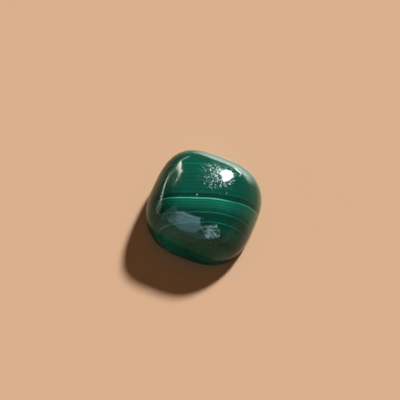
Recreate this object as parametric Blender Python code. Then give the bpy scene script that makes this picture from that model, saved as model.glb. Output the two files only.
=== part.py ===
"""A polished malachite cushion cabochon: a single natural stone.

The plan is a square with full round corners. From its flat base the side swells out to the
girdle, the widest level, and closes above it in a high dome, cut by hand with its top a little
off centre. The origin is the middle of the base, and the square's sides face +X, -X, +Y and -Y.
"""

import math

import bmesh
import bpy

MM = 0.001

WIDTH = 12.0 * MM  # across the girdle, from one side to the other, both ways
HEIGHT = 7.3 * MM  # from the flat base to the top of the dome
GIRDLE_HEIGHT = 2.0 * MM  # the widest level, above the base
TOP_SHIFT = -0.55 * MM  # how far along X the dome's top sits from the middle
BASE_SHARE = 0.93  # the flat base's width over the girdle's
GIRDLE_SQUARENESS = 2.72  # exponent of the plan at the girdle: 2 is a circle, more is squarer
CROWN_SQUARENESS = 3.7  # the same exponent at the top of the dome
DOME_FULLNESS = 0.68  # power of the dome's width: under 1 fills out the shoulders
DOME_RISE = 1.37  # power of the dome's height: over 1 steepens the side above the girdle
GIRDLE_SOFTNESS = 0.1  # rounds the start of the rise, so that the girdle has no crease
SHIFT_POWER = 1.5  # power of the rise that carries the shift: the girdle has none of it

SEGMENTS = 88  # points round each level, a multiple of 4
SIDE_LEVELS = 6  # levels from the base to just under the girdle
DOME_LEVELS = 20  # levels from the girdle to just under the top

MALACHITE_GREEN = (0.010, 0.105, 0.060, 1.0)
POLISH_ROUGHNESS = 0.12


def clear_scene():
    """Removes every object of the scene."""
    for thing in list(bpy.data.objects):
        bpy.data.objects.remove(thing, do_unlink=True)


def plan_radius(angle, squareness):
    """Distance from the axis to the plan's outline, where the half width is 1."""
    along_x = abs(math.cos(angle)) ** squareness
    along_y = abs(math.sin(angle)) ** squareness
    return (along_x + along_y) ** (-1 / squareness)


def dome_rise(turn):
    """Share of the dome's height at a turn of 0, the girdle, to a quarter circle, the top."""
    start = GIRDLE_SOFTNESS**DOME_RISE
    reach = (math.sin(turn) + GIRDLE_SOFTNESS) ** DOME_RISE
    return (reach - start) / ((1 + GIRDLE_SOFTNESS) ** DOME_RISE - start)


def side_profile(step):
    """(width share, height, squareness, shift) of a level under the girdle, by a step of 0 to 1."""
    turn = 0.5 * math.pi * step
    share = BASE_SHARE + (1 - BASE_SHARE) * math.sin(turn)
    height = GIRDLE_HEIGHT * (1 - math.cos(turn))
    return share, height, GIRDLE_SQUARENESS, 0


def dome_profile(step):
    """(width share, height, squareness, shift) of a level of the dome, by a step of 0 to 1."""
    turn = 0.5 * math.pi * step
    share = math.cos(turn) ** DOME_FULLNESS
    rise = dome_rise(turn)
    height = GIRDLE_HEIGHT + (HEIGHT - GIRDLE_HEIGHT) * rise
    squarer = (CROWN_SQUARENESS - GIRDLE_SQUARENESS) * math.sin(turn) ** 2
    return share, height, GIRDLE_SQUARENESS + squarer, TOP_SHIFT * rise**SHIFT_POWER


def stone_levels():
    """Every level from the base up to the last one under the top of the dome."""
    sides = [side_profile(level / SIDE_LEVELS) for level in range(SIDE_LEVELS)]
    dome = [dome_profile(level / DOME_LEVELS) for level in range(DOME_LEVELS)]
    return sides + dome


def add_ring(mesh, share, height, squareness, shift):
    """Adds one closed level of the stone and returns its edges."""
    ring = []
    for index in range(SEGMENTS):
        angle = 2 * math.pi * index / SEGMENTS
        reach = 0.5 * WIDTH * share * plan_radius(angle, squareness)
        place = (shift + reach * math.cos(angle), reach * math.sin(angle), height)
        ring.append(mesh.verts.new(place))
    return [mesh.edges.new((ring[index - 1], ring[index])) for index in range(SEGMENTS)]


def close_top(mesh, ring_edges):
    """Draws the last level together in one point at the top of the dome."""
    fan = bmesh.ops.extrude_edge_only(mesh, edges=ring_edges)["geom"]
    tip = [part for part in fan if isinstance(part, bmesh.types.BMVert)]
    bmesh.ops.pointmerge(mesh, verts=tip, merge_co=(TOP_SHIFT, 0, HEIGHT))


def malachite():
    """The polished stone's material."""
    material = bpy.data.materials.new("malachite")
    material.use_nodes = True
    shader = material.node_tree.nodes["Principled BSDF"]
    shader.inputs["Base Color"].default_value = MALACHITE_GREEN
    shader.inputs["Roughness"].default_value = POLISH_ROUGHNESS
    shader.inputs["Metallic"].default_value = 0.0
    return material


def make_cabochon():
    """Builds the stone as one closed solid that stands on its base."""
    mesh = bmesh.new()
    rings = [add_ring(mesh, *level) for level in stone_levels()]
    for lower, upper in zip(rings, rings[1:]):
        bmesh.ops.bridge_loops(mesh, edges=lower + upper)
    bmesh.ops.contextual_create(mesh, geom=rings[0])
    close_top(mesh, rings[-1])
    bmesh.ops.recalc_face_normals(mesh, faces=mesh.faces)
    data = bpy.data.meshes.new("malachite_cabochon")
    mesh.to_mesh(data)
    mesh.free()
    data.shade_smooth()
    data.materials.append(malachite())
    stone = bpy.data.objects.new("malachite_cabochon", data)
    bpy.context.scene.collection.objects.link(stone)


clear_scene()
make_cabochon()
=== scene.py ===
"""A polished malachite gemstone, its layered finish, and the small studio that it is seen in.

The stone is one cushion cabochon. Geometry Nodes draw it from its sizes, and its layers are
laid through the whole stone, so that they run on round the sides and the back.
Lengths in the classes are in millimetres where nothing else is said. The scene is in metres,
in the frame of the CAD.
"""

from __future__ import annotations

import logging
import math
from dataclasses import dataclass, field
from enum import Enum
from typing import Any, Mapping, Optional, Sequence, Tuple, Union

import bpy
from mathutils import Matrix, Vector

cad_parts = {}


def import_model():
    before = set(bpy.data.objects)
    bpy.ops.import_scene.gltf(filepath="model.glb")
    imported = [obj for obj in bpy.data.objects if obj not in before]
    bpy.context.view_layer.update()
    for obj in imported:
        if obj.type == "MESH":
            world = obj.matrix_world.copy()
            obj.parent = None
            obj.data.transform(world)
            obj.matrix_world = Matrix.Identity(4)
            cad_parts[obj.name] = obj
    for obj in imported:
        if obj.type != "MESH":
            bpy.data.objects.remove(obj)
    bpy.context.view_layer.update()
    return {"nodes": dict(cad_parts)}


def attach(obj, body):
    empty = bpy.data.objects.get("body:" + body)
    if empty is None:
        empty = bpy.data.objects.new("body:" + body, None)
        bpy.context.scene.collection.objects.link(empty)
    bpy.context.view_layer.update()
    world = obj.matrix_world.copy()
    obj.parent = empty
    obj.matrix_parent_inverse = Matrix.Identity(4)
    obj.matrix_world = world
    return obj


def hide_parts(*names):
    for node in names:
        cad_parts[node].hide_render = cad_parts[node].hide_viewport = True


LOG = logging.getLogger("gemstone")
MM = 0.001
LAYERS_PER_RAMP = 10  # a colour ramp holds 32 stops, and a fine layer takes 3
FULL_GAIN = 2.5  # a ramp's value of 1, when it lightens a layer

Colour = Tuple[float, float, float]
Place = Tuple[float, float, float]
Span = Tuple[float, float]  # where a change begins, and where it is complete
Number = Union["Quantity", float]


class SeenBy(Enum):
    """What a piece of the studio shows itself to."""

    EYE = "the camera, with its light and shadows, but not the polish"
    POLISH = "the mirror of the polish alone"


class Quantity:
    """The output socket of a node, on which arithmetic adds Math nodes."""

    def __init__(self, sheet: NodeSheet, socket: bpy.types.NodeSocket) -> None:
        """Keeps the sheet that the node lies on, and the socket."""
        self.sheet = sheet
        self.socket = socket

    def other(self, name: Union[str, int]) -> Quantity:
        """Another output of the same node."""
        return Quantity(self.sheet, self.socket.node.outputs[name])

    def __add__(self, value: Number) -> Quantity:
        """Self plus a value."""
        return self.sheet.maths("ADD", self, value)

    __radd__ = __add__

    def __sub__(self, value: Number) -> Quantity:
        """Self less a value."""
        return self.sheet.maths("SUBTRACT", self, value)

    def __rsub__(self, value: Number) -> Quantity:
        """A value less self."""
        return self.sheet.maths("SUBTRACT", value, self)

    def __mul__(self, value: Number) -> Quantity:
        """Self times a value."""
        return self.sheet.maths("MULTIPLY", self, value)

    __rmul__ = __mul__

    def __truediv__(self, value: Number) -> Quantity:
        """Self over a value, or 0 over 0."""
        return self.sheet.maths("DIVIDE", self, value)

    def __rtruediv__(self, value: Number) -> Quantity:
        """A value over self, or 0 over 0."""
        return self.sheet.maths("DIVIDE", value, self)

    def __pow__(self, value: Number) -> Quantity:
        """Self to a power."""
        return self.sheet.maths("POWER", self, value)

    def __neg__(self) -> Quantity:
        """Self times -1."""
        return self.sheet.maths("MULTIPLY", self, -1.0)

    def __abs__(self) -> Quantity:
        """Self without its sign."""
        return self.sheet.maths("ABSOLUTE", self)

    def __gt__(self, value: Number) -> Quantity:
        """1 where self is above a value, otherwise 0."""
        return self.sheet.maths("GREATER_THAN", self, value)

    def root(self) -> Quantity:
        """The square root of self."""
        return self.sheet.maths("SQRT", self)

    def at_least(self, value: Number) -> Quantity:
        """The greater of self and a value."""
        return self.sheet.maths("MAXIMUM", self, value)

    def at_most(self, value: Number) -> Quantity:
        """The lesser of self and a value."""
        return self.sheet.maths("MINIMUM", self, value)

    def ramp(self, span: Span) -> Quantity:
        """A smooth step.

        Args:
            span: Where the step begins, and where it is complete.

        Returns:
            0 up to the first, 1 from the second, and smooth between the two.
        """
        return self.sheet.node(
            "ShaderNodeMapRange",
            {"interpolation_type": "SMOOTHSTEP"},
            {"Value": self, "From Min": span[0], "From Max": span[1]},
        )


@dataclass(frozen=True)
class Grain:
    """Soft noise: how far apart its patches lie, the number that picks the pattern, and its detail.

    The noise node scales that number too, so the same grain in another unit is another pattern.
    """

    size: Number
    seed: Number
    detail: float = 2.0


class NodeSheet:
    """Lays nodes on one tree, for a material, the world or a Geometry Nodes modifier."""

    def __init__(self, tree: bpy.types.NodeTree) -> None:
        """Keeps the tree and clears it."""
        self.tree = tree
        tree.nodes.clear()

    def node(
        self,
        kind: str,
        settings: Optional[Mapping[str, Any]] = None,
        sockets: Optional[Mapping[Union[str, int], Any]] = None,
        output: Union[str, int] = 0,
    ) -> Quantity:
        """Adds one node: its settings first, and then its sockets.

        Args:
            kind: The node's type.
            settings: Its properties by name; "stops" is a colour ramp's list of stops.
            sockets: Values and links of its inputs, by name or by place.
            output: The output that is returned.

        Returns:
            The quantity at that output, or at the input of a node that ends the tree.
        """
        made = self.tree.nodes.new(kind)
        for name, value in (settings or {}).items():
            if name == "stops":
                self._set_stops(made.color_ramp, value)
            else:
                setattr(made, name, value)
        for place, value in (sockets or {}).items():
            self.feed(made.inputs[place], value)
        ends = made.outputs if made.outputs else made.inputs
        return Quantity(self, ends[output])

    def feed(self, socket: bpy.types.NodeSocket, value: Any) -> None:
        """Gives an input socket its value.

        Args:
            socket: The input.
            value: A quantity, which is linked to it, or a plain value, which is written on it.
        """
        if isinstance(value, Quantity):
            self.tree.links.new(value.socket, socket)
        else:
            socket.default_value = value

    def maths(self, operation: str, *values: Number) -> Quantity:
        """Adds a Math node on up to three values."""
        return self.node("ShaderNodeMath", {"operation": operation}, dict(enumerate(values)))

    def vector(self, operation: str, *values: Any, output: Union[str, int] = 0) -> Quantity:
        """Adds a Vector Math node on vectors."""
        return self.node("ShaderNodeVectorMath", {"operation": operation}, dict(enumerate(values)), output)

    def scaled(self, vector: Any, factor: Number) -> Quantity:
        """A vector or colour times a number."""
        return self.node("ShaderNodeVectorMath", {"operation": "SCALE"}, {0: vector, "Scale": factor})

    def dot(self, first: Quantity, second: Any) -> Quantity:
        """The dot product of two vectors."""
        return self.vector("DOT_PRODUCT", first, second, output="Value")

    def distance(self, first: Quantity, second: Any) -> Quantity:
        """How far apart two points lie."""
        return self.vector("DISTANCE", first, second, output="Value")

    def towards(self, place: Quantity, azimuth: float) -> Quantity:
        """The cosine of the angle between a place or direction and a level azimuth, in degrees."""
        return self.dot(self.vector("NORMALIZE", place), tuple(direction(azimuth)))

    def part(self, vector: Quantity, axis: str) -> Quantity:
        """One part of a vector or colour: X, Y or Z."""
        return self.node("ShaderNodeSeparateXYZ", sockets={0: vector}, output=axis)

    def point(self) -> Quantity:
        """The place on the object, in millimetres."""
        return self.scaled(self.node("ShaderNodeTexCoord", output="Object"), 1.0 / MM)

    def surface(self, kind: str, sockets: Mapping[Union[str, int], Any]) -> None:
        """Ends a material with its shader."""
        self.node("ShaderNodeOutputMaterial", sockets={"Surface": self.node(kind, sockets=sockets)})

    def mixed(self, share: Number, first: Any, second: Any) -> Quantity:
        """Two colours mixed.

        Args:
            share: How much of the second, from 0 to 1.
            first: The first colour, as a quantity or three numbers.
            second: The second colour.

        Returns:
            The mixed colour.
        """
        colours = [c if isinstance(c, Quantity) else (*c, 1.0) for c in (first, second)]
        return self.node(
            "ShaderNodeMix",
            {"data_type": "RGBA", "clamp_factor": True},
            {0: share, 6: colours[0], 7: colours[1]},
            2,
        )

    def cloud(self, vector: Quantity, grain: Grain) -> Quantity:
        """Soft noise in space.

        Args:
            vector: The point, in the unit of the grain's size.
            grain: The noise's size, seed and detail.

        Returns:
            A number near 0 to 1, with a mean of a half.
        """
        return self.node(
            "ShaderNodeTexNoise",
            {"noise_dimensions": "4D"},
            {"Vector": vector, "W": grain.seed, "Scale": 1.0 / grain.size, "Detail": grain.detail},
        )

    @staticmethod
    def _set_stops(ramp: bpy.types.ColorRamp, stops: Sequence[Tuple[float, Colour]]) -> None:
        """Replaces the stops of a colour ramp.

        Args:
            ramp: The ramp.
            stops: The (place, colour) pairs that it gets.
        """
        while len(ramp.elements) > 1:
            ramp.elements.remove(ramp.elements[-1])
        for index, (place, colour) in enumerate(stops):
            stop = ramp.elements[0] if index == 0 else ramp.elements.new(place)
            stop.position = place
            stop.color = (*colour, 1.0)


def direction(azimuth: float, elevation: float = 0.0) -> Vector:
    """A direction as a unit vector.

    Args:
        azimuth: Degrees from +X, turned towards +Y.
        elevation: Degrees above the floor.

    Returns:
        The vector.
    """
    turn = math.radians(azimuth)
    lift = math.radians(elevation)
    return Vector((math.cos(turn) * math.cos(lift), math.sin(turn) * math.cos(lift), math.sin(lift)))


def new_object(name: str, data: bpy.types.ID) -> bpy.types.Object:
    """A new object in the scene.

    Args:
        name: Its name.
        data: Its mesh, light or lens.

    Returns:
        The object.
    """
    made = bpy.data.objects.new(name, data)
    bpy.context.scene.collection.objects.link(made)
    return made


def new_material(name: str) -> Tuple[bpy.types.Material, NodeSheet]:
    """A new material made of nodes.

    Args:
        name: Its name.

    Returns:
        The material and its empty sheet.
    """
    material = bpy.data.materials.new(name)
    material.use_nodes = True
    return material, NodeSheet(material.node_tree)


@dataclass(frozen=True)
class Layering:
    """How the layers lie: upright sheets, which bow back as they near the front.

    A layer's depth is its distance from the middle of the stone, along the line that runs square
    to the layers.
    """

    turn: float = -69.8  # degrees from +X to the line square to the layers
    crown: float = 6.6  # the height that the layers bow from
    bow: float = 0.038  # how far a front layer bows, over the fall from the crown, squared
    bow_depths: Span = (0.55, 2.8)
    hook: float = 0.20  # how far the layers turn back where they reach the right flank
    hook_places: Span = (2.5, 5.5)
    ripple: float = 0.08  # how far the layers ripple
    ripple_grain: Grain = Grain(1.3, 3.1)
    sway: float = 1.0  # how far they sway, low down
    sway_grain: Grain = Grain(5.5, 8.7)
    sway_heights: Span = (1.0, 5.5)

    def find(self, sheet: NodeSheet, point: Quantity) -> Tuple[Quantity, Quantity]:
        """Finds where a place lies among the layers.

        Args:
            sheet: The material's sheet.
            point: The place in the stone.

        Returns:
            The depth across the layers, growing to the front, and the distance along them, growing
            to the right.
        """
        across = sheet.dot(point, tuple(direction(self.turn)))
        along = sheet.dot(point, tuple(direction(self.turn + 90.0)))
        height = sheet.part(point, "Z")
        fall = self.crown - height
        bowed = across - self.bow * fall * fall * across.ramp(self.bow_depths)
        hooked = bowed + self.hook * along.ramp(self.hook_places)
        ripple = (sheet.cloud(point, self.ripple_grain) - 0.5) * self.ripple
        sway = (sheet.cloud(point, self.sway_grain) - 0.5) * self.sway
        return hooked + ripple + sway * (1 - height.ramp(self.sway_heights)), along


@dataclass(frozen=True)
class FineLayer:
    """One faint layer: its depth, half width, and how much it lightens the green there."""

    depth: float
    width: float
    gain: float


@dataclass(frozen=True)
class Seam:
    """One thin pale layer that stands out: its depth, half width and how green it is."""

    depth: float
    width: float
    green: float


@dataclass(frozen=True)
class FineLines:
    """Fine uneven lines: half the usual distance between them, their pattern and their strength."""

    spacing: float
    seed: float
    strength: float


@dataclass(frozen=True)
class LayerColours:
    """The greens of the layers, from the back of the stone to the front. The front ones are partly painted
    fill light.
    """

    deep_hue: Colour = (0.03, 1.0, 0.76)  # of the dark layers, over how green they are
    pale_hue: Colour = (0.20, 1.0, 0.87)
    hue_greens: Span = (0.12, 0.60)  # the deep hue up to the first, and the pale one from the second
    reach: float = 6.6  # the depth at each end of the zones below
    zones: Tuple[Tuple[float, float], ...] = (  # (depth, how green)
        (-6.60, 0.250),
        (-5.50, 0.200),
        (-4.90, 0.130),
        (-4.50, 0.088),
        (-4.20, 0.058),
        (-3.40, 0.074),
        (-2.00, 0.082),
        (0.50, 0.080),
        (0.66, 0.044),
        (1.00, 0.040),
        (1.24, 0.135),
        (1.80, 0.130),
        (2.10, 0.100),
        (2.50, 0.060),
        (3.00, 0.052),
        (3.45, 0.060),
        (3.80, 0.050),
        # from here to the front, the greens are partly painted light: lighter than the layers' own green, as
        # painted fill light on the shaded front of the stone
        (4.20, 0.090),
        (4.60, 0.080),
        (5.20, 0.080),
        (5.45, 0.110),
        (5.80, 0.085),
        (6.60, 0.120),
    )
    layers: Tuple[FineLayer, ...] = (
        FineLayer(-4.00, 0.10, 1.40),
        FineLayer(-3.72, 0.07, 1.35),
        FineLayer(-3.50, 0.07, 1.30),
        FineLayer(-3.08, 0.15, 2.00),
        FineLayer(-2.65, 0.08, 1.40),
        FineLayer(-2.30, 0.09, 1.80),
        FineLayer(-1.90, 0.08, 1.45),
        FineLayer(-1.50, 0.08, 1.45),
        FineLayer(-1.00, 0.08, 1.20),
        FineLayer(-0.52, 0.08, 1.25),
        FineLayer(-0.15, 0.09, 1.35),
        FineLayer(0.30, 0.08, 1.30),
        FineLayer(0.82, 0.05, 1.90),
        FineLayer(1.40, 0.06, 1.60),
        FineLayer(1.55, 0.05, 0.80),
        FineLayer(1.70, 0.07, 1.35),
        FineLayer(1.88, 0.05, 0.80),
        FineLayer(2.00, 0.06, 1.40),
        FineLayer(2.13, 0.06, 1.20),
        FineLayer(2.34, 0.05, 1.15),
        FineLayer(2.90, 0.06, 1.15),
        FineLayer(3.30, 0.08, 1.10),
    )
    seams: Tuple[Seam, ...] = (
        Seam(1.11, 0.10, 0.60),
        Seam(2.62, 0.10, 0.20),
        Seam(3.60, 0.08, 0.23),
    )
    seam_edge: float = 0.7  # power of a seam's fall from its middle to its sides
    seam_least: float = 0.65  # strength of a seam where it is worn most
    seam_spread: float = 0.6  # how much stronger it is where it is worn least
    seam_wear: float = 1.2  # how far apart the worn stretches lie
    seam_seed: float = 60.0  # of the first seam's wear
    seam_right: Span = (1.6, 3.4)  # where the seams fade, along the layers
    seam_right_fade: float = 0.45
    seam_left: Span = (-5.2, -3.7)
    seam_left_fade: float = 0.7
    fine_lines: Tuple[FineLines, ...] = (
        FineLines(0.20, 11.3, 0.6),
        FineLines(0.105, 47.9, 0.9),
    )
    fine_detail: float = 1.0  # of the fine lines
    calm: float = 0.6  # how much fainter the fine lines are at the front
    calm_depths: Span = (2.2, 3.2)
    blotches: Grain = Grain(1.6, 21.0, 3.0)
    blotch_strength: float = 0.3
    least_green: float = 0.25  # the least that lines and blotches leave of the green
    left_places: Span = (-4.2, -2.2)  # the left ends of the layers, which are darker
    left_depths: Span = (1.8, 3.0)
    left_shade: float = 0.45
    painted_fill_places: Span = (-4.5, -0.5)  # the left ends at the front, painted paler: painted fill light on the shaded lower left
    painted_fill_depths: Span = (2.6, 4.0)
    right_places: Span = (1.8, 4.4)  # the right ends, which are darker, most of all at the front
    right_depths: Span = (0.8, 1.4)
    right_shade: float = 0.2

    def paint(self, sheet: NodeSheet, point: Quantity, depth: Quantity, along: Quantity) -> Quantity:
        """Colour of the stone: how green it is at a place, and the hue that goes with that.

        Args:
            sheet: The material's sheet.
            point: The place in the stone.
            depth: The depth across the layers there.
            along: The distance along them.

        Returns:
            The colour.
        """
        green = self._by_depth(sheet, depth, self.zones) * self._unevenness(sheet, point, depth)
        for start in range(0, len(self.layers), LAYERS_PER_RAMP):
            gains = self._gains(self.layers[start : start + LAYERS_PER_RAMP])
            green = green * FULL_GAIN * self._by_depth(sheet, depth, gains)
        fade = self._seam_fade(along)
        for index, seam in enumerate(self.seams):
            share = self._seam_share(sheet, point, depth, seam, self.seam_seed + index)
            green = green + (seam.green - green) * share * fade
        green = green * self._ends(depth, along)
        hue = sheet.mixed(green.ramp(self.hue_greens), self.deep_hue, self.pale_hue)
        return sheet.scaled(hue, green)

    def _unevenness(self, sheet: NodeSheet, point: Quantity, depth: Quantity) -> Quantity:
        """Fine lines along the layers, and soft blotches.

        Args:
            sheet: The material's sheet.
            point: The place in the stone.
            depth: The depth across the layers there.

        Returns:
            What the green is multiplied by, near 1.
        """
        calm = 1 - self.calm * depth.ramp(self.calm_depths)
        uneven = 1 + (sheet.cloud(point, self.blotches) - 0.5) * self.blotch_strength
        for lines in self.fine_lines:
            noise = sheet.node(
                "ShaderNodeTexNoise",
                {"noise_dimensions": "1D"},
                {"W": depth / lines.spacing + lines.seed, "Scale": 1.0, "Detail": self.fine_detail},
            )
            uneven = uneven + (noise - 0.5) * lines.strength * calm
        return uneven.at_least(self.least_green)

    def _seam_share(
        self, sheet: NodeSheet, point: Quantity, depth: Quantity, seam: Seam, seed: float
    ) -> Quantity:
        """How much of a seam's own green shows at a place.

        Args:
            sheet: The material's sheet.
            point: The place in the stone.
            depth: The depth across the layers there.
            seam: The seam.
            seed: A number that picks the pattern of its wear.

        Returns:
            The share, from 0 to 1.
        """
        near = (1 - abs(depth - seam.depth) / seam.width).at_least(0.0)
        worn = self.seam_least + self.seam_spread * sheet.cloud(point, Grain(self.seam_wear, seed))
        return (near**self.seam_edge * worn).at_most(1.0)

    def _seam_fade(self, along: Quantity) -> Quantity:
        """How much of the seams is left towards their two ends.

        Args:
            along: The distance along the layers.

        Returns:
            1 in the middle, and less at the ends.
        """
        right = 1 - self.seam_right_fade * along.ramp(self.seam_right)
        left = 1 - self.seam_left_fade * (1 - along.ramp(self.seam_left))
        return right * left

    def _ends(self, depth: Quantity, along: Quantity) -> Quantity:
        """How the two ends of the layers differ from their middle, with painted fill light at the left end
        of the front.

        Args:
            depth: The depth across the layers.
            along: The distance along them.

        Returns:
            What the green is multiplied by.
        """
        left = (1 - along.ramp(self.left_places)) * (1 - depth.ramp(self.left_depths))
        # painted fill light: the shaded front left is made paler
        painted_fill = (1 - along.ramp(self.painted_fill_places)) * depth.ramp(self.painted_fill_depths)
        right = self.right_shade * along.ramp(self.right_places) * (1 + depth.ramp(self.right_depths))
        return (1 - self.left_shade * left + painted_fill) * (1 - right)

    def _by_depth(self, sheet: NodeSheet, depth: Quantity, stops: Sequence[Tuple[float, float]]) -> Quantity:
        """A value that changes from depth to depth.

        Args:
            sheet: The material's sheet.
            depth: The depth across the layers.
            stops: The values by depth.

        Returns:
            The value at the depth.
        """
        span = 2.0 * self.reach
        places = [(0.5 + place / span, (value, value, value)) for place, value in stops]
        return sheet.node("ShaderNodeValToRGB", {"stops": places}, {0: depth / span + 0.5})

    @staticmethod
    def _gains(layers: Sequence[FineLayer]) -> Sequence[Tuple[float, float]]:
        """The stops of a ramp that lightens each of a few layers, in shares of the full gain.

        Args:
            layers: The layers, from the back to the front, none over another.

        Returns:
            The stops: the gain by depth.
        """
        stops = []
        for layer in layers:
            for place, gain in ((-layer.width, 1.0), (0.0, layer.gain), (layer.width, 1.0)):
                stops.append((layer.depth + place, gain / FULL_GAIN))
        return stops


@dataclass(frozen=True)
class Frost:
    """A patch of tiny tilted facets in the polish: its middle, its size and how many facets it tilts."""

    middle: Place
    size: float
    share: float


@dataclass(frozen=True)
class Polish:
    """The gloss: smooth, with patches of tiny tilted facets that glitter round a highlight."""

    index: float = 1.5  # of refraction
    roughness: float = 0.06
    slope: float = 0.012  # of the steepest facets in the smooth gloss
    facet_size: float = 0.08
    facet_slope: float = 0.20  # of the steepest tilted facets, on top of the gloss
    facet_roughness: float = 0.03  # of a tilted facet, on top of the gloss
    frost: Tuple[Frost, ...] = (
        Frost((0.8, 1.9, 7.15), 1.5, 0.75),
        Frost((1.9, 1.4, 6.95), 0.8, 0.2),
        Frost((1.1, -2.5, 7.0), 0.6, 0.2),
    )
    frost_edge: Span = (0.5, 1.5)  # where a patch ends, over its size
    frost_grain: Grain = Grain(0.9, 5.0)  # of the ragged edge of the patches
    frost_elsewhere: float = 0.015
    bare_middle: Place = (1.6, 2.45, 6.93)  # of the spot that has no frost
    bare_radius: float = 0.88
    bare_edge: Span = (0.8, 1.05)  # where that spot ends, over its radius

    def lay(self, sheet: NodeSheet, point: Quantity) -> Tuple[Quantity, Quantity]:
        """Lays the polish on the stone.

        Args:
            sheet: The material's sheet.
            point: The place on the stone.

        Returns:
            The roughness and the bumped normal.
        """
        facet = sheet.node("ShaderNodeTexVoronoi", sockets={"Vector": point, "Scale": 1.0 / self.facet_size})
        pick = facet.other("Color")
        tilted = self._frosted(sheet, point) > sheet.part(pick, "Z")
        tilt = sheet.vector("SUBTRACT", sheet.scaled(pick, 2.0), (1.0, 1.0, 1.0))
        inside = sheet.vector("SUBTRACT", point, facet.other("Position"))
        height = sheet.dot(inside, tilt) * (self.slope + self.facet_slope * tilted)
        normal = sheet.node("ShaderNodeBump", sockets={"Distance": MM, "Height": height})
        return self.roughness + self.facet_roughness * tilted, normal

    def _frosted(self, sheet: NodeSheet, point: Quantity) -> Quantity:
        """The share of the facets that are tilted.

        Args:
            sheet: The material's sheet.
            point: The place on the stone.

        Returns:
            The share, from 0 to 1.
        """
        ragged = sheet.cloud(point, self.frost_grain) - 0.5
        frosted = self.frost_elsewhere * (1 + 2 * ragged)
        for patch in self.frost:
            away = sheet.distance(point, patch.middle) / patch.size + ragged
            frosted = frosted + patch.share * (1 - away.ramp(self.frost_edge))
        bare = sheet.distance(point, self.bare_middle) / self.bare_radius
        return frosted * bare.ramp(self.bare_edge)


@dataclass(frozen=True)
class MalachiteFinish:
    """Polished malachite: parallel layers of green that run through the stone, under a gloss."""

    name: str = "malachite"
    layering: Layering = Layering()
    colours: LayerColours = LayerColours()
    polish: Polish = Polish()

    def material(self) -> bpy.types.Material:
        """Builds the finish.

        Returns:
            The material.
        """
        made, sheet = new_material(self.name)
        point = sheet.point()
        depth, along = self.layering.find(sheet, point)
        colour = self.colours.paint(sheet, point, depth, along)
        roughness, normal = self.polish.lay(sheet, point)
        sheet.surface(
            "ShaderNodeBsdfPrincipled",
            {"Base Color": colour, "Roughness": roughness, "IOR": self.polish.index, "Normal": normal},
        )
        return made


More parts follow.
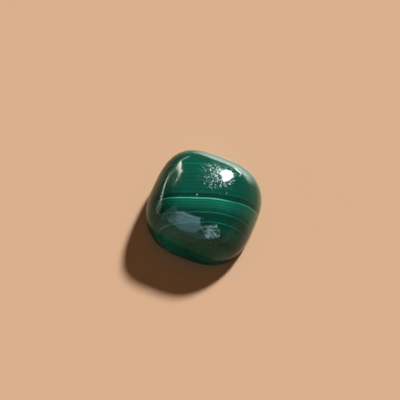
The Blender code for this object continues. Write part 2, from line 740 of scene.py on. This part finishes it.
@dataclass
class Cabochon:
    """The polished stone: its sizes, and the Geometry Nodes that draw it."""

    width: float = 12.0
    height: float = 7.3
    girdle_height: float = 2.0  # of the widest level
    top_shift: float = -0.55  # how far along X the top sits from the middle
    base_share: float = 0.93  # the base's width over the girdle's
    girdle_squareness: float = 2.72  # exponent of the plan: 2 is a circle, more is squarer
    crown_squareness: float = 3.7
    dome_fullness: float = 0.68  # power of the dome's width
    dome_rise: float = 1.37  # power of the dome's height
    girdle_softness: float = 0.1  # rounds the start of the rise
    shift_power: float = 1.5  # power of the rise that carries the top's shift
    unevenness: float = 0.01  # how far soft noise draws the surface in
    uneven_size: float = 3.2
    uneven_detail: float = 1.0
    uneven_from: float = 0.2  # share of the height over which the unevenness sets in
    seed: int = 7
    cuts: int = 120  # points along each edge of the cube that the stone is drawn from
    name: str = "malachite_stone"
    finish: MalachiteFinish = field(default_factory=MalachiteFinish)

    def build(self) -> bpy.types.Object:
        """Draws the stone and gives it to the frame.

        Returns:
            The stone's object.
        """
        material = self.finish.material()
        stone = self._drawn(material)
        stone.data.materials.clear()
        stone.data.materials.append(material)
        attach(stone, "root")
        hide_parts("malachite_cabochon")
        return stone

    def _inputs(self) -> Mapping[str, Union[int, float]]:
        """The tree's named inputs.

        Returns:
            The value of each by name, with lengths in metres.
        """
        return {
            "Width": self.width * MM,
            "Height": self.height * MM,
            "Girdle Height": self.girdle_height * MM,
            "Top Shift": self.top_shift * MM,
            "Base Share": self.base_share,
            "Girdle Squareness": self.girdle_squareness,
            "Crown Squareness": self.crown_squareness,
            "Dome Fullness": self.dome_fullness,
            "Dome Rise": self.dome_rise,
            "Girdle Softness": self.girdle_softness,
            "Shift Power": self.shift_power,
            "Unevenness": self.unevenness * MM,
            "Uneven Size": self.uneven_size * MM,
            "Seed": self.seed,
            "Cuts": self.cuts,
        }

    def _drawn(self, material: bpy.types.Material) -> bpy.types.Object:
        """Runs the tree once and keeps its mesh.

        Args:
            material: The finish that the tree sets.

        Returns:
            An object with the plain mesh and no modifier.
        """
        tree = bpy.data.node_groups.new("cushion cabochon", "GeometryNodeTree")
        names = {}
        tree.interface.new_socket("Geometry", in_out="OUTPUT", socket_type="NodeSocketGeometry")
        for name, value in self._inputs().items():
            kind = "NodeSocketInt" if isinstance(value, int) else "NodeSocketFloat"
            names[name] = tree.interface.new_socket(name, in_out="INPUT", socket_type=kind).identifier
        self._lay_tree(NodeSheet(tree), material)
        carrier = new_object("stone_carrier", bpy.data.meshes.new("stone_carrier"))
        modifier = carrier.modifiers.new("cabochon", "NODES")
        modifier.node_group = tree
        for name, value in self._inputs().items():
            modifier[names[name]] = value
        graph = bpy.context.evaluated_depsgraph_get()
        mesh = bpy.data.meshes.new_from_object(carrier.evaluated_get(graph))
        carrier.modifiers.remove(modifier)
        bpy.data.objects.remove(carrier, do_unlink=True)
        mesh.name = self.name
        return new_object(self.name, mesh)

    def _lay_tree(self, sheet: NodeSheet, material: bpy.types.Material) -> None:
        """Lays the nodes: a cube of fine squares, drawn out into the stone.

        Args:
            sheet: The empty tree.
            material: The finish that the tree sets.
        """
        given = sheet.node("NodeGroupInput")
        cuts = {f"Vertices {axis}": given.other("Cuts") for axis in "XYZ"}
        cube = sheet.node("GeometryNodeMeshCube", sockets={"Size": (2.0, 2.0, 2.0), **cuts})
        place = self._place(sheet, given)
        moved = sheet.node("GeometryNodeSetPosition", sockets={"Geometry": cube, "Position": place})
        smooth = sheet.node("GeometryNodeSetShadeSmooth", sockets={0: moved})
        whole = sheet.node("GeometryNodeRealizeInstances", sockets={0: smooth})
        dressed = sheet.node("GeometryNodeSetMaterial", sockets={0: whole, "Material": material})
        sheet.node("NodeGroupOutput", sockets={0: dressed})

    def _place(self, sheet: NodeSheet, given: Quantity) -> Quantity:
        """Where each point of the cube goes on the stone.

        The cube is drawn to a ball first. The ball's upper half becomes the dome, the band down to
        45 degrees under its middle the side, and the cap below that the base.

        Args:
            sheet: The tree.
            given: The tree's inputs.

        Returns:
            The new position.
        """
        start = sheet.vector("NORMALIZE", sheet.node("GeometryNodeInputPosition"))
        along_x = sheet.part(start, "X")
        along_y = along_x.other("Y")
        lift = along_x.other("Z")
        spread = (1 - lift * lift).at_least(0.0).root()
        on_dome = lift > 0.0
        base_edge = math.sqrt(0.5)  # sine of those 45 degrees
        on_base = -lift > base_edge
        on_side = 1 - on_dome - on_base

        bulge = (1 - spread ** (2.0 / given.other("Dome Fullness"))).at_least(0.0)
        soft = given.other("Girdle Softness")
        power = given.other("Dome Rise")
        least = soft ** power
        rise = ((bulge.root() + soft) ** power - least) / ((1 + soft) ** power - least) * on_dome

        base_share = given.other("Base Share")
        side_share = base_share + (1 - base_share) * (1 - 2 * lift * lift)
        share = spread * on_dome + side_share * on_side + base_share * (1 / base_edge) * spread * on_base
        girdle = given.other("Girdle Height")
        dome_height = girdle + (given.other("Height") - girdle) * rise
        side_height = girdle * (1 + 2 * lift * spread)
        height = dome_height * on_dome + side_height * on_side

        squareness = given.other("Girdle Squareness")
        squareness = squareness + (given.other("Crown Squareness") - squareness) * bulge * on_dome
        reach = (abs(along_x) ** squareness + abs(along_y) ** squareness) ** (1 / squareness)
        grow = 0.5 * given.other("Width") * share / reach
        shift = given.other("Top Shift") * rise ** given.other("Shift Power")
        place = sheet.node(
            "ShaderNodeCombineXYZ",
            sockets={0: grow * along_x + shift, 1: grow * along_y, 2: height},
        )
        return self._uneven(sheet, given, place, height)

    def _uneven(self, sheet: NodeSheet, given: Quantity, place: Quantity, height: Quantity) -> Quantity:
        """Draws a point in a little, by soft noise, as a stone cut by hand is never quite even.

        Args:
            sheet: The tree.
            given: The tree's inputs.
            place: The point on the even stone.
            height: Its height above the base.

        Returns:
            The point on the uneven stone.
        """
        grain = Grain(given.other("Uneven Size"), given.other("Seed"), self.uneven_detail)
        noise = sheet.cloud(place, grain)
        above = (height / (self.uneven_from * given.other("Height"))).at_most(1.0)
        drawn = noise * above * given.other("Unevenness") * 2 / given.other("Width")
        return sheet.scaled(place, 1 - drawn)


def flat_piece(
    name: str, corners: Sequence[Sequence[float]], material: bpy.types.Material, seen_by: SeenBy
) -> None:
    """Makes one flat piece of the studio.

    Args:
        name: Its name.
        corners: Its corners in metres, in order.
        material: Its material.
        seen_by: What it shows itself to.
    """
    mesh = bpy.data.meshes.new(name)
    mesh.from_pydata(corners, [], [tuple(range(len(corners)))])
    mesh.materials.append(material)
    piece = new_object(name, mesh)
    by_eye = seen_by is SeenBy.EYE
    piece.visible_glossy = not by_eye
    piece.visible_camera = by_eye
    piece.visible_diffuse = by_eye
    piece.visible_shadow = by_eye


@dataclass(frozen=True)
class Floor:
    """The plain pale floor under the stone, as the camera sees it."""

    size: float = 6000.0
    colour: Colour = (0.60, 0.45, 0.345)

    def build(self) -> None:
        """Lays the floor."""
        half = 0.5 * self.size * MM
        corners = [(-half, -half, 0.0), (half, -half, 0.0), (half, half, 0.0), (-half, half, 0.0)]
        material, sheet = new_material("pale floor")
        sheet.surface("ShaderNodeBsdfDiffuse", {"Color": (*self.colour, 1.0)})
        flat_piece("floor", corners, material, SeenBy.EYE)


@dataclass(frozen=True)
class LitSheet:
    """The part of the floor that the polish mirrors. Its colour is painted light: brighter near the stone
    and on its lit side, with a painted sheen towards the key light, darker far off, and painted shade near
    by at the front.

    Spans of angles are cosines of the angle to an azimuth, and spans of distances are counted
    from the middle of the stone.
    """

    turn: float = 40.0  # degrees that it is turned
    lift: float = 0.02  # above the floor
    low_corner: Tuple[float, float] = (-16.0, -40.0)  # before the turn
    high_corner: Tuple[float, float] = (45.0, 19.4)
    colour: Colour = (0.835, 0.64, 0.43)  # where it is fully lit
    far_share: float = 0.33  # of that light, away from the stone
    near_share: float = 0.10  # more than that, near the stone
    lit_share: float = 0.55  # and more again on the stone's lit side
    near_distances: Span = (7.0, 14.0)
    lit_azimuth: float = 60.0
    lit_angles: Span = (-0.1, 0.8)
    dim: float = 0.35  # how much darker it gets far off
    dim_distances: Span = (14.0, 40.0)
    front_azimuth: float = 268.0
    front_angles: Span = (0.8, 0.95)
    front_dim: float = 0.5  # painted shade: how much darker it is near by, at the front
    front_distances: Span = (11.0, 20.0)
    painted_sheen_colour: Colour = (0.83, 1.08, 1.15)  # painted sheen of the key light, a colour brighter than white
    glow_azimuth: float = 82.0
    glow_angles: Span = (0.80, 0.985)
    glow_near: float = 0.8
    glow_far: float = 3.0
    glow_distances: Span = (9.5, 20.0)

    def build(self) -> None:
        """Lays the sheet."""
        along = direction(self.turn) * MM
        across = direction(self.turn + 90.0) * MM
        lift = Vector((0.0, 0.0, self.lift * MM))
        low, high = self.low_corner, self.high_corner
        places = ((low[0], low[1]), (high[0], low[1]), (high[0], high[1]), (low[0], high[1]))
        corners = [along * a + across * b + lift for a, b in places]
        material, sheet = new_material("lit sheet")
        sheet.surface("ShaderNodeBsdfDiffuse", {"Color": self._colour(sheet, sheet.point())})
        flat_piece("lit_sheet", corners, material, SeenBy.POLISH)

    def _colour(self, sheet: NodeSheet, place: Quantity) -> Quantity:
        """Colour of the sheet, with its light and shade painted in.

        Args:
            sheet: The material's sheet.
            place: The place on it.

        Returns:
            The colour.
        """
        distance = sheet.vector("LENGTH", place, output="Value")
        lit = sheet.towards(place, self.lit_azimuth).ramp(self.lit_angles)
        front = sheet.towards(place, self.front_azimuth).ramp(self.front_angles)
        glow = sheet.towards(place, self.glow_azimuth).ramp(self.glow_angles)
        near_by = 1 - distance.ramp(self.near_distances)
        share = self.far_share + near_by * (self.near_share + self.lit_share * lit)
        share = share * (1 - self.dim * distance.ramp(self.dim_distances))
        share = share * (1 - self.front_dim * front * (1 - distance.ramp(self.front_distances)))
        # painted sheen: towards the key light the colour goes above white
        warm = sheet.scaled(self.colour, share * (1 - glow))
        strength = self.glow_near + self.glow_far * distance.ramp(self.glow_distances)
        bright = sheet.scaled(self.painted_sheen_colour, glow * strength)
        return sheet.vector("ADD", warm, bright)


@dataclass(frozen=True)
class Surroundings:
    """What lies all round: one light on the stone, one view for the polish and a backdrop.

    Spans of angles are cosines of the angle to an azimuth, and spans of heights are sines of the
    elevation.
    """

    ambient: Colour = (0.160, 0.070, 0.026)
    fill: Colour = (0.16, 0.85, 0.80)  # soft light from low down at the front left
    fill_azimuth: float = 228.0
    fill_angles: Span = (0.4, 0.9)
    fill_heights: Span = (0.15, 0.35)
    room: Colour = (0.05, 0.05, 0.06)  # what the polish mirrors from above
    horizon: Colour = (0.40, 0.29, 0.18)  # and from the front, low down
    horizon_azimuth: float = 280.0
    horizon_angles: Span = (-0.6, 0.6)
    horizon_heights: Span = (0.0, 0.25)
    horizon_behind: float = 0.1  # the share of the horizon that is left at the back
    backdrop: Colour = (0.62, 0.52, 0.43)

    def build(self) -> None:
        """Sets the world."""
        world = bpy.data.worlds.new("studio")
        world.use_nodes = True
        bpy.context.scene.world = world
        sheet = NodeSheet(world.node_tree)
        way = sheet.node("ShaderNodeTexCoord", output="Generated")
        height = sheet.part(way, "Z")
        front = sheet.towards(way, self.horizon_azimuth).ramp(self.horizon_angles)
        low = 1 - height.ramp(self.horizon_heights)
        horizon = low * (self.horizon_behind + (1 - self.horizon_behind) * front)
        side = sheet.towards(way, self.fill_azimuth).ramp(self.fill_angles)
        fill = side * (1 - height.ramp(self.fill_heights))
        seen = sheet.node("ShaderNodeLightPath", output="Is Camera Ray")
        mirrored = sheet.mixed(horizon, self.room, self.horizon)
        colour = sheet.mixed(fill, self.ambient, self.fill)
        colour = sheet.mixed(seen.other("Is Glossy Ray"), colour, mirrored)
        colour = sheet.mixed(seen, colour, self.backdrop)
        shader = sheet.node("ShaderNodeBackground", sockets={"Color": colour})
        sheet.node("ShaderNodeOutputWorld", sockets={"Surface": shader})


@dataclass(frozen=True)
class KeyLight:
    """The key light, far off, high behind the stone."""

    azimuth: float = 76.1
    elevation: float = 41.9
    width: float = 7.0  # degrees across, seen from the stone
    strength: float = 4.8
    colour: Colour = (1.0, 0.86, 0.72)

    def build(self) -> None:
        """Hangs the light. In the polish, the highlight card stands for it."""
        light = bpy.data.lights.new("key_light", "SUN")
        light.color = self.colour
        light.angle = math.radians(self.width)
        light.energy = self.strength
        lamp = new_object("key_light", light)
        lamp.location = direction(self.azimuth, self.elevation)
        lamp.rotation_euler = lamp.location.to_track_quat("Z", "Y").to_euler()
        lamp.visible_glossy = False


@dataclass(frozen=True)
class LightCard:
    """A light card that only the polish shows: its corners, as seen from the stone, and its light."""

    name: str
    corners: Tuple[Tuple[float, float], ...]  # (azimuth, elevation) of each, in degrees
    light: Colour  # radiance
    streaks: float = 0.0  # how much its light varies, from 0 to 1
    distance: float = 0.5  # metres from the stone


@dataclass(frozen=True)
class LightCards:
    """The cards that the polish mirrors: the highlight, the bright rims and a window."""

    streak_size: float = 0.20  # of the streaks in a card, over its distance
    streak_stretch: float = 2.6  # how much longer than high they are
    streak_seed: float = 2.0
    streak_detail: float = 1.0
    streak_edge: Span = (0.35, 0.65)  # from the dark streaks to the bright ones
    cards: Tuple[LightCard, ...] = (
        LightCard(
            "highlight_card",
            (
                (92.8, 23.3), (90.5, 13.8), (85.5, 10.2), (77.5, 17.0), (68.4, 25.4), (62.1, 38.6),
                (62.0, 46.5), (64.7, 53.6), (77.0, 53.3), (83.2, 45.4), (91.4, 40.8), (94.2, 29.4),
            ),
            (26.0, 27.5, 28.0),
        ),
        LightCard(
            "rim_card",
            (
                (89.0, -14.0), (83.0, -11.0), (75.0, -7.5), (72.0, -5.0), (72.0, -2.5), (75.0, -4.0),
                (83.0, -6.8), (89.0, -11.0),
            ),
            (20.0, 23.0, 21.5),
            0.4,
        ),
        LightCard(
            "rim_tail_card",
            ((102.0, -17.0), (89.0, -14.0), (89.0, -10.5), (102.0, -14.5)),
            (2.6, 3.4, 2.9),
            0.4,
        ),
        LightCard(
            "window_card",
            (
                (-107.2, 45.2), (-104.2, 50.5), (-104.6, 54.2), (-101.5, 57.0), (-95.5, 61.5),
                (-93.0, 52.0), (-91.0, 44.0), (-97.0, 35.5), (-100.5, 21.1), (-102.4, 14.0),
                (-104.4, 28.0),
            ),
            (1.6, 2.75, 3.2),
            0.35,
        ),
        LightCard(
            "window_top_card",
            (
                (-112.2, 49.2), (-106.5, 51.0), (-105.3, 53.7), (-107.3, 57.2), (-107.9, 60.5),
                (-104.6, 54.2), (-104.1, 50.5), (-104.8, 45.4), (-109.9, 44.5),
            ),
            (4.0, 5.6, 6.0),
            0.8,
            0.48,
        ),
        LightCard(
            "window_low_card",
            (
                (-102.8, 11.1), (-100.5, 21.1), (-97.0, 35.5), (-91.0, 44.0), (-89.0, 36.0),
                (-88.5, 28.0), (-93.7, 17.0), (-98.7, 6.9), (-99.8, 3.5),
            ),
            (1.0, 2.0, 2.1),
        ),
        LightCard(
            "window_side_card",
            (
                (-141.5, 66.4), (-110.7, 48.2), (-107.6, 35.6), (-120.4, -0.9), (-128.7, -3.9),
                (-133.0, 17.6), (-130.5, 45.1),
            ),
            (0.42, 0.65, 0.65),
            0.3,
        ),
        LightCard(
            "window_band_card",
            (
                (-112.5, 46.5), (-107.4, 45.2), (-104.6, 28.0), (-102.5, 13.5), (-110.5, 7.0),
                (-120.0, 17.0), (-119.0, 29.0), (-114.0, 40.0),
            ),
            (0.75, 1.35, 1.4),
            0.4,
            0.48,
        ),
        LightCard(
            "window_right_card",
            (
                (-90.2, 35.7), (-77.1, 43.6), (-44.0, 46.3), (-30.0, 33.2), (-30.1, 21.7),
                (-40.7, 13.7), (-61.3, 11.9), (-75.7, 8.3), (-84.1, 17.9),
            ),
            (1.9, 2.9, 3.1),
            0.9,
        ),
        LightCard(
            "window_spot_card",
            ((-41.0, 43.0), (-35.0, 46.0), (-29.0, 42.0), (-34.0, 37.0)),
            (4.0, 7.5, 6.8),
            0.3,
            0.48,
        ),
        LightCard(
            "window_foot_card",
            ((-94.6, 17.0), (-84.9, 17.5), (-75.7, 8.3), (-88.9, -0.7), (-97.5, -0.3), (-98.7, 4.5)),
            (0.5, 0.7, 0.7),
        ),
        LightCard(
            "side_card",
            (
                (138.6, 5.7), (142.6, 20.4), (147.2, 30.2), (146.1, 41.1), (150.3, 40.8),
                (152.0, 38.0), (153.2, 35.6), (152.6, 33.4), (151.6, 23.8), (147.5, 13.8),
            ),
            (14.0, 13.8, 11.6),
            0.3,
        ),
        LightCard(
            "side_inner_card",
            (
                (139.3, 5.8), (147.7, 13.1), (152.2, 24.4), (152.9, 30.5), (153.3, 29.0),
                (154.3, 21.5), (153.2, 13.2), (147.4, 7.7),
            ),
            (6.0, 5.6, 4.2),
            0.4,
        ),
        LightCard(
            "side_band_card",
            (
                (140.2, 5.4), (149.9, 6.8), (156.2, 3.4), (158.6, -2.5), (158.4, 7.9),
                (156.9, 14.9), (152.6, 18.1), (148.2, 12.9),
            ),
            (1.6, 1.4, 0.95),
            0.3,
        ),
        LightCard(
            "edge_top_card",
            ((116.8, -3.1), (127.0, 3.9), (138.9, 5.0), (139.6, 10.3), (127.2, 9.9), (117.0, 3.8)),
            (2.2, 2.9, 2.2),
            0.3,
        ),
        LightCard(
            "edge_bend_card",
            ((158.5, -2.3), (158.6, -5.9), (160.1, -2.8), (160.2, 2.4), (158.8, 0.0), (158.5, 3.0)),
            (3.4, 4.1, 3.2),
            0.4,
        ),
        LightCard(
            "edge_card",
            ((160.1, -2.8), (166.7, 3.9), (183.1, 10.5), (186.8, 16.0), (167.8, 9.6), (160.2, 2.4)),
            (6.8, 7.2, 6.0),
            0.4,
        ),
        LightCard(
            "edge_foot_card",
            (
                (183.1, 10.5), (191.3, -2.0), (202.3, -6.0), (216.6, -2.2), (213.6, 12.0), (195.4, 21.8),
            ),
            (1.2, 1.4, 1.1),
            0.9,
        ),
    )

    def build(self) -> None:
        """Hangs every card."""
        for card in self.cards:
            corners = [direction(*corner) * card.distance for corner in card.corners]
            flat_piece(card.name, corners, self._material(card), SeenBy.POLISH)

    def _material(self, card: LightCard) -> bpy.types.Material:
        """The light that a card gives.

        Args:
            card: The card.

        Returns:
            Its material.
        """
        material, sheet = new_material(card.name)
        place = sheet.node("ShaderNodeTexCoord", output="Object")
        squashed = sheet.vector("MULTIPLY", place, (1.0, 1.0, self.streak_stretch))
        grain = Grain(self.streak_size * card.distance, self.streak_seed, self.streak_detail)
        streaks = sheet.cloud(squashed, grain).ramp(self.streak_edge)
        strength = 1 + card.streaks * (2 * streaks - 1)
        sheet.surface("ShaderNodeEmission", {"Color": (*card.light, 1.0), "Strength": strength})
        return material


@dataclass(frozen=True)
class Viewpoint:
    """The camera, which looks steeply down on the stone."""

    azimuth: float = 22.56  # degrees that it is turned about the stone, from -Y
    elevation: float = 67.0
    distance: float = 265.2
    lens: float = 216.0
    sensor: float = 36.0
    clip: float = 5.0  # the nearest that it shows
    aim_right: float = -0.41  # what it aims at, seen from the middle of the base
    aim_up: float = 1.59

    def build(self) -> None:
        """Places the camera."""
        right = direction(self.azimuth)
        back = direction(self.azimuth - 90.0, self.elevation)
        up = back.cross(right)
        aim = (right * self.aim_right + up * self.aim_up) * MM
        lens = bpy.data.cameras.new("camera")
        lens.lens = self.lens
        lens.sensor_width = self.sensor
        lens.clip_start = self.clip * MM
        camera = new_object("camera", lens)
        camera.location = aim + back * self.distance * MM
        camera.rotation_euler = back.to_track_quat("Z", "Y").to_euler()
        bpy.context.scene.camera = camera


@dataclass(frozen=True)
class Studio:
    """The floor, the surroundings, the lights and the camera."""

    floor: Floor = Floor()
    lit_sheet: LitSheet = LitSheet()
    surroundings: Surroundings = Surroundings()
    key_light: KeyLight = KeyLight()
    cards: LightCards = LightCards()
    viewpoint: Viewpoint = Viewpoint()

    def build(self) -> None:
        """Makes every part of the studio."""
        parts = (self.floor, self.lit_sheet, self.surroundings, self.key_light, self.cards, self.viewpoint)
        for part in parts:
            part.build()
            LOG.info("studio: %s is set", type(part).__name__)


def main() -> None:
    """Loads the frame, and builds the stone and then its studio."""
    logging.basicConfig(level=logging.INFO, format="%(name)s: %(message)s")
    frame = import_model()
    LOG.info("frame has %d node", len(frame["nodes"]))
    bpy.context.scene.view_settings.view_transform = "Standard"

    stone = Cabochon().build()
    LOG.info("%s has %d faces", stone.name, len(stone.data.polygons))
    Studio().build()


if __name__ == "__main__":
    main()
